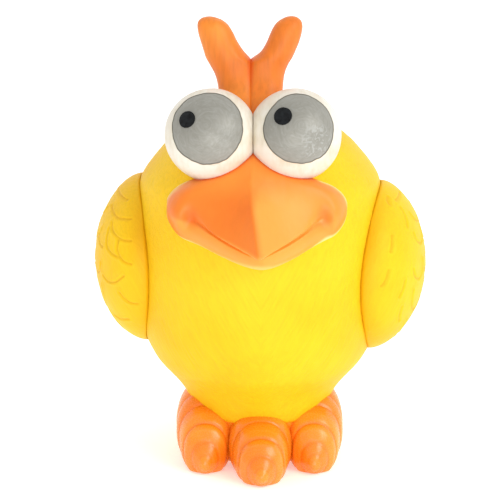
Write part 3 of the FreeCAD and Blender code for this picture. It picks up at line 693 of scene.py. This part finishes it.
def makeBeak():
    ways = list(beak["columns"])
    across = [-d for d in reversed(ways)] + ways[1:]
    rows = len(beak["ridgeAcross"])
    half = len(ways) - 1
    bm = bmesh.new()
    bmesh.ops.create_grid(bm, x_segments=len(across) - 1, y_segments=rows - 1, size=1)
    crease = bm.edges.layers.float.new("crease_edge")
    spot = {}
    for vert in bm.verts:
        column = round((vert.co.x + 1) / 2 * (len(across) - 1))
        row = round((1 - vert.co.y) / 2 * (rows - 1))
        spot[vert] = (column, row)
        out = across[column]
        y, z = beak["columns"][abs(out)][row]
        lead = (beak["ridgeAcross"][row] - beak["middle"]) * (1 - min(abs(out) / beak["leanFades"], 1))
        vert.co = Vector((beak["middle"] + lead + out, y, z))
    firstRow, lastRow = beak["ridgeRows"]
    for edge in bm.edges:
        (columnA, rowA), (columnB, rowB) = spot[edge.verts[0]], spot[edge.verts[1]]
        if columnA == columnB == half and firstRow <= min(rowA, rowB) and max(rowA, rowB) <= lastRow:
            edge[crease] = beak["ridgeCrease"]
        nearMiddle = max(abs(columnA - half), abs(columnB - half)) <= beak["mouthColumns"]
        if rowA == rowB and rowA in beak["mouthRows"] and nearMiddle:
            edge[crease] = beak["mouthCrease"]
    bmesh.ops.contextual_create(bm, geom=[e for e in bm.edges if e.is_boundary])
    piece = makePiece(bm, "beak", "head", beakFinish)
    softenPiece(piece, levels=4, keep=True)
    dimpleOut, dimpleHeight = beak["dimple"]

    def detail(p, n):
        fromEye = min((p - leftMiddle).length, (p - rightMiddle).length) - eye["radius"]
        proud = math.hypot(p.x, p.y) - skinRadius(p.z)
        out = abs(p.x - beak["middle"])
        stroke = Vector((p.x, p.y, p.z / beak["strokeLength"]))
        push = beak["dents"] * unevenness(p, beak["dentSize"])
        push += beak["strokes"] * unevenness(stroke, beak["strokeSize"])

        ridge = beak["ridgeStart"] + beak["ridgeDrift"] * between(beak["driftFrom"] - p.z, *beak["driftDown"])
        side = p.x - ridge
        # the light's edge is crisp at the hook and soft between the eyes
        soft = 1 + beak["litSoftness"] * between(p.z, *beak["litSoftens"])
        litFrom, litTo = beak["litEdge"]
        lit = between(side, litFrom * soft, litTo * soft)
        lit *= 1 - beak["litFade"] * between(side, *beak["litFades"])
        lit *= between(beak["litTop"] - p.z, *beak["litDown"])
        lit = max(lit, beak["browTone"] * between(p.z, *beak["browHeights"]))
        lip = between(beak["lipTop"] + out * beak["lipRise"] - p.z, *beak["lipEdge"])
        lip *= between(-p.y, *beak["lipForward"])

        # painted shade under the eyes and in the dimples
        fromDimple = math.hypot(out - dimpleOut, (p.z - dimpleHeight) / beak["dimpleTall"])
        dark = beak["underEyeShade"] * (1 - between(fromEye, *beak["underEye"]))
        dark = max(dark, beak["dimpleShade"] * (1 - between(fromDimple, *beak["dimpleEdge"])))

        # a pale band where the beak meets the skin, and a painted highlight where the cheeks turn aside and
        # the lip's underside turns down
        rim = beak["rimTone"] * (1 - between(proud, *beak["rimProud"]))
        cheek = (1 - between(-n.y, *beak["cheekFacing"])) * between(out, *beak["cheekOut"])
        bottom = between(-n.z, *beak["bottomFacing"]) * between(-p.y, *beak["bottomForward"])
        rim = max(rim, beak["cheekHighlight"] * cheek, beak["bottomHighlight"] * bottom)
        rim *= between(fromEye, *beak["rimFromEye"])
        return p + n * push, {"lit": max(lit, beak["lipTone"] * lip), "gathered": dark, "rim": rim}

    shapePiece(piece, detail)
    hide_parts("upper_beak", "lower_beak")


makeBeak()
print("beak made")

crest = {
    "split": -2.75, "forward": -5.0,
    # height, middle, half width, half depth, how far the section leans forwards, squareness of the inner side
    "right": [(97, -6.8, 5.0, 7.5, -4.5, 1), (102, -6.8, 5.1, 7.4, -4.4, 1),
              (105.5, -6.8, 5.1, 6.6, -3.4, 1), (109.5, -6.8, 5.0, 5.2, -1.2, 1),
              (113.6, -7.2, 5.5, 4.7, 0, 1), (116.6, -8.1, 6.3, 4.6, 0, 0.9),
              (118.4, -9.2, 6.4, 4.6, 0, 0.7), (120.2, -10.4, 5.7, 4.5, 0, 0.3),
              (122.6, -11.5, 5.3, 4.4, 0, 0), (126, -12.8, 5.0, 4.0, 0, 0), (128.3, -13.6, 4.3, 3.4, 0, 0),
              (129.4, -14.2, 3.0, 2.4, 0, 0), (130.1, -14.5, 1.2, 1.0, 0, 0)],
    "left": [(97, 1.3, 5.0, 7.5, -4.5, 1), (102, 1.3, 5.1, 7.4, -4.4, 1), (105.5, 1.3, 5.1, 6.6, -3.4, 1),
             (109.5, 1.3, 5.1, 5.2, -1.2, 1), (113.4, 1.4, 5.3, 4.7, 0, 1), (116.6, 2.2, 5.7, 4.6, 0, 0.9),
             (118, 2.9, 5.9, 4.6, 0, 0.8), (119.2, 4.4, 5.1, 4.6, 0, 0.5), (121, 5.5, 4.7, 4.5, 0, 0.2),
             (124, 6.8, 4.6, 4.3, 0, 0), (127, 7.7, 4.4, 3.8, 0, 0), (128.8, 8.3, 3.5, 3.0, 0, 0),
             (129.7, 8.6, 2.2, 1.9, 0, 0), (130.2, 8.8, 0.9, 0.8, 0, 0)],
    "ringSize": 20,
    "squareness": 0.62,
    "dents": 0.12, "dentSize": 6, "strokes": 0.05, "strokeSize": 1.4, "strokeLength": 6,
    # painted shade in the crease between the lobes and at the crest's foot
    "creaseWidth": (0.2, 1.3), "creaseFrom": (108, 116), "creaseTo": (118.5, 121), "creaseShade": 0.8,
    "footHeights": (103, 108), "crestFootShade": 0.5,
}


def makeLobe(name, nodes, side, sections):
    bm = bmesh.new()
    rings = []
    for height, middle, halfWidth, halfDepth, lean, square in sections:
        made = bmesh.ops.create_circle(bm, cap_ends=False, segments=crest["ringSize"], radius=1)["verts"]
        for vert in made:
            x, y = vert.co.x, vert.co.y
            if x * side < 0 and square > 0:
                x = math.copysign(abs(x) ** (1 - crest["squareness"] * square), x)
            vert.co = Vector((middle + x * halfWidth, crest["forward"] + lean + y * halfDepth, height))
        rings.append({e for v in made for e in v.link_edges})
    for lower, upper in zip(rings, rings[1:]):
        bmesh.ops.bridge_loops(bm, edges=list(lower | upper))
    for ring in (rings[0], rings[-1]):
        bmesh.ops.contextual_create(bm, geom=list(ring))
    piece = makePiece(bm, name, None, crestFinish)
    softenPiece(piece, levels=3, keep=True)

    def detail(p, n):
        stroke = Vector((p.x, p.y, p.z / crest["strokeLength"]))
        push = crest["dents"] * unevenness(p, crest["dentSize"])
        push += crest["strokes"] * unevenness(stroke, crest["strokeSize"])
        # painted shade in the crease between the lobes and at the crest's foot
        inCrease = 1 - between(abs(p.x - crest["split"]), *crest["creaseWidth"])
        inCrease *= between(p.z, *crest["creaseFrom"]) * (1 - between(p.z, *crest["creaseTo"]))
        atFoot = 1 - between(p.z, *crest["footHeights"])
        return p + n * push, {"gathered": max(crest["creaseShade"] * inCrease, crest["crestFootShade"] * atFoot)}

    shapePiece(piece, detail)
    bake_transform(piece)
    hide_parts(*nodes)


makeLobe("crestRight", ["crest_lobe_right", "crest_root"], -1, crest["right"])
makeLobe("crestLeft", ["crest_lobe_left"], 1, crest["left"])
print("crest made")

foot = {
    # from the claw's tip backwards along the toe: distance and radius, with a ridge for each ring
    "rings": [(0, 0), (0.25, 0.95), (0.9, 2.0), (1.6, 2.75), (2.1, 3.5), (3, 4.5), (3.8, 5.1), (4.4, 6.1),
              (5.7, 7.6), (7.2, 8.2), (7.9, 8.1), (8.5, 8.85), (10.3, 9.6), (12.8, 9.8), (13.7, 9.6),
              (14.4, 10.05), (16.2, 10.45), (18, 10.4), (18.8, 10.25), (19.6, 10.5), (22, 10.6), (26, 9.8),
              (29.5, 6.5), (31, 0)],
    # the same without its ridges
    "plain": [(0, 0), (0.9, 2.0), (2.8, 4.6), (4.3, 6.15), (5.7, 7.6), (8.5, 8.9), (10.3, 9.6), (15.5, 10.45),
              (22, 10.6), (32, 10)],
    "ringsPerSpan": 6, "plainPerSpan": 12, "steps": 96, "mergeWithin": 0.0005,
    "square": 2.2,  # the toes press together, so they are squarer than round
    "squareFrom": (1.5, 7), "swell": 0.1, "swellFrom": (9, 18),
    "dents": 0.12, "dentSize": 5,
    # painted shade for each millimetre of hollow and painted highlight for each millimetre of ridge, their
    # most, and how far along the toe they go
    "hollowShade": 1.1, "hollowMost": 0.6, "ridgeHighlight": 1.6, "ridgeMost": 0.8, "ridgeProud": 0.1,
    "toneTo": 24, "ridgeHighlightFrom": 2,
    "intoBelly": 1.2,  # how far the toes' tops reach into the belly
    "flatTo": 0.6, "flatDeep": -4, "smoothBelow": 1.5,  # the underside rests flat on the table
}
toes = {
    # tip, direction it points (degrees to the side), width, length and height shares, how much the back rises
    "toeMiddle": {"node": "toe_middle", "tip": (0.5, -36.9, 3.7), "turn": 1.5, "wide": 0.8, "long": 1.0,
                  "high": 0.92, "rise": 0.2},
    "toeLeft": {"node": "toe_left", "tip": (15.7, -26.3, 3.4), "turn": 1, "wide": 0.77, "long": 0.84,
                "high": 0.98, "rise": 0.34},
    "toeRight": {"node": "toe_right", "tip": (-15.9, -26.3, 3.4), "turn": -1, "wide": 0.77, "long": 0.84,
                 "high": 0.98, "rise": 0.34},
}


def makeToe(name, shape):
    bm = bmesh.new()
    path = linkPath(bm, [(p.y, p.x, 0) for p in smoothLine(foot["rings"], foot["ringsPerSpan"])])
    path[0].co.x = path[-1].co.x = 0
    spinRound(bm, foot["steps"], axis=(0, 1, 0))
    bmesh.ops.remove_doubles(bm, verts=bm.verts[:], dist=foot["mergeWithin"])
    gathered, lit = bm.verts.layers.float.new("gathered"), bm.verts.layers.float.new("lit")
    smooth = smoothLine(foot["plain"], foot["plainPerSpan"])
    tip, power, flat = Vector(shape["tip"]), foot["square"], foot["flatTo"]
    turn = Matrix.Rotation(math.radians(shape["turn"]), 3, "Z")
    for vert in bm.verts:
        p = vert.co
        radius = math.hypot(p.x, p.z)
        proud = radius - next(q.y for q in smooth if q.x >= p.y)
        # painted shade in the hollows between the rings and a painted highlight on their ridges
        if p.y < foot["toneTo"]:
            vert[gathered] = min(max(-proud * foot["hollowShade"], 0), foot["hollowMost"])
            if p.y > foot["ridgeHighlightFrom"]:
                vert[lit] = min(max((proud + foot["ridgeProud"]) * foot["ridgeHighlight"], 0), foot["ridgeMost"])
        p = p + p.normalized() * foot["dents"] * unevenness(p, foot["dentSize"], shape["turn"])
        fuller = 1
        if radius > 0:
            fuller = ((abs(p.x) / radius) ** power + (abs(p.z) / radius) ** power) ** (-1 / power)
        fuller = 1 + (fuller - 1) * between(p.y, *foot["squareFrom"])
        fuller *= 1 + foot["swell"] * between(p.y, *foot["swellFrom"])
        wide, long, high = p.x * fuller * shape["wide"], p.y * shape["long"], p.z * fuller * shape["high"]
        placed = turn @ Vector((wide, long, high + p.y * shape["rise"])) + tip
        placed.z = min(placed.z, skinUnderside(math.hypot(placed.x, placed.y)) + foot["intoBelly"])
        if placed.z < flat:
            placed.z = flat * math.exp((placed.z - flat) / flat) if placed.z > foot["flatDeep"] else 0
        vert.co = placed
    low = [v for v in bm.verts if v.co.z < foot["smoothBelow"]]
    bmesh.ops.smooth_vert(bm, verts=low, factor=0.3, use_axis_x=True, use_axis_y=True, use_axis_z=False)
    piece = makePiece(bm, name, "base", footFinish)
    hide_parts(shape["node"])


for name, shape in toes.items():
    makeToe(name, shape)

pad = {
    # radius and height from the squeaker's hole out over the sole, up the heel and in under the belly
    "outline": [(9.3, 15.2), (9.3, 2.2), (10.9, 1.9), (10.9, 0.3), (11.6, 0), (17.4, 0), (18.9, 0.5),
                (19.6, 2.2), (20.2, 6), (20.9, 11), (21.5, 15), (21.9, 18.2), (20.6, 19.2), (17, 17.6)],
    "steps": 96,
    "back": 2.0, "backRadii": (12, 17),  # the sole's outside sits a little further back than its hole
}


def makePad():
    bm = bmesh.new()
    path = linkPath(bm, [(x, 0, z) for x, z in pad["outline"]])
    bm.edges.new((path[-1], path[0]))
    spinRound(bm, pad["steps"])
    for vert in bm.verts:
        vert.co.y += pad["back"] * between(math.hypot(vert.co.x, vert.co.y), *pad["backRadii"])
    piece = makePiece(bm, "footPad", "base", footFinish)
    softenPiece(piece, levels=2)
    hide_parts("foot_pad")


makePad()
print("feet made")

# the squeaker stays as it is in the CAD model, with its real materials
for node in ("squeaker_housing", "squeaker_cap", "reed_plate", "reed_clip"):
    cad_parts[node].material_slots[0].material = plasticFinish
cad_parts["squeaker_reed"].material_slots[0].material = brassFinish
print("squeaker finished")

studio = {
    "target": (-0.00292, 0.0, 0.06075), "distance": 0.6, "elevation": 15.0, "lens": 147.7,
    "roomBehind": 1.22, "roomLeft": 0.66, "roomRight": 0.8,
    "roomAcross": 0.8, "roomBack": (-0.1, 0.5),  # directions between which the room's light changes
    "keyPower": 3.0, "keyPlace": (0.6, -0.55, 0.6), "keySize": 0.5,
    "fillPower": 3.0, "fillPlace": (0.05, -0.9, 0.05), "fillSize": 0.5,
    "floorSize": 3,
    "floorGlow": 0.35,  # a lit white sweep rather than plain paper
}


def makeFloor():
    bm = bmesh.new()
    bmesh.ops.create_grid(bm, x_segments=8, y_segments=8, size=studio["floorSize"])
    mesh = bpy.data.meshes.new("paleFloor")
    bm.to_mesh(mesh)
    bm.free()
    floor = bpy.data.objects.new("paleFloor", mesh)
    bpy.context.collection.objects.link(floor)
    # uncoated white paper: matt, with a faint fibre
    material, tree, shader = startMaterial("matPaper", {
        "Roughness": 0.9, "IOR": 1.4, "Specular IOR Level": 0.1,
        "Emission Color": (1, 1, 1, 1), "Emission Strength": studio["floorGlow"]})
    place = addNode(tree, "ShaderNodeTexCoord").outputs["Object"]
    fibre = addNode(tree, "ShaderNodeTexNoise", inputs={"Vector": place, "Scale": 0.4 / mm, "Detail": 3.0})
    tint = addNode(tree, "ShaderNodeValToRGB", {"ramp": [(0.3, "#fbfbfb"), (0.7, "#ffffff")]},
                   {0: fibre.outputs["Fac"]})
    tree.links.new(tint.outputs[0], shader.inputs["Base Color"])
    mesh.materials.append(material)


def makeLamp(name, power, place, size):
    light = bpy.data.lights.new(name, "AREA")
    light.energy, light.size = power, size
    lamp = bpy.data.objects.new(name, light)
    lamp.location = place
    lamp.rotation_euler = (Vector(studio["target"]) - Vector(place)).to_track_quat("-Z", "Y").to_euler()
    bpy.context.collection.objects.link(lamp)


makeFloor()
makeLamp("softKey", studio["keyPower"], studio["keyPlace"], studio["keySize"])
makeLamp("softFill", studio["fillPower"], studio["fillPlace"], studio["fillSize"])
# an even white room, brighter behind the object and a little darker on the left
world = bpy.data.worlds.new("whiteRoom")
world.use_nodes = True
room = world.node_tree
way = addNode(room, "ShaderNodeTexCoord").outputs["Generated"]
wayParts = addNode(room, "ShaderNodeSeparateXYZ", inputs={"Vector": way})
acrossRoom = addNode(room, "ShaderNodeMapRange", {"interpolation_type": "SMOOTHSTEP"}, {
    "Value": wayParts.outputs["X"], "From Min": -studio["roomAcross"], "From Max": studio["roomAcross"],
    "To Min": studio["roomLeft"], "To Max": studio["roomRight"]})
backFrom, backTo = studio["roomBack"]
backRoom = addNode(room, "ShaderNodeMapRange", {"interpolation_type": "SMOOTHSTEP"}, {
    "Value": wayParts.outputs["Y"], "From Min": backFrom, "From Max": backTo})
roomLight = addNode(room, "ShaderNodeMix", {"data_type": "FLOAT"}, {
    0: backRoom.outputs[0], 2: acrossRoom.outputs[0], 3: studio["roomBehind"]})
room.links.new(roomLight.outputs[0], room.nodes["Background"].inputs["Strength"])
room.nodes["Background"].inputs["Color"].default_value = (1, 1, 1, 1)
bpy.context.scene.world = world
bpy.context.scene.view_settings.view_transform = "Standard"

cameraData = bpy.data.cameras.new("camera")
cameraData.lens, cameraData.sensor_width = studio["lens"], 36
cameraData.clip_start, cameraData.clip_end = 0.01, 20
camera = bpy.data.objects.new("camera", cameraData)
tilt = math.radians(studio["elevation"])
camera.location = Vector(studio["target"]) + Vector((0, -math.cos(tilt), math.sin(tilt))) * studio["distance"]
camera.rotation_euler = (math.pi / 2 - tilt, 0, 0)
bpy.context.collection.objects.link(camera)
bpy.context.scene.camera = camera

bpy.context.view_layer.update()
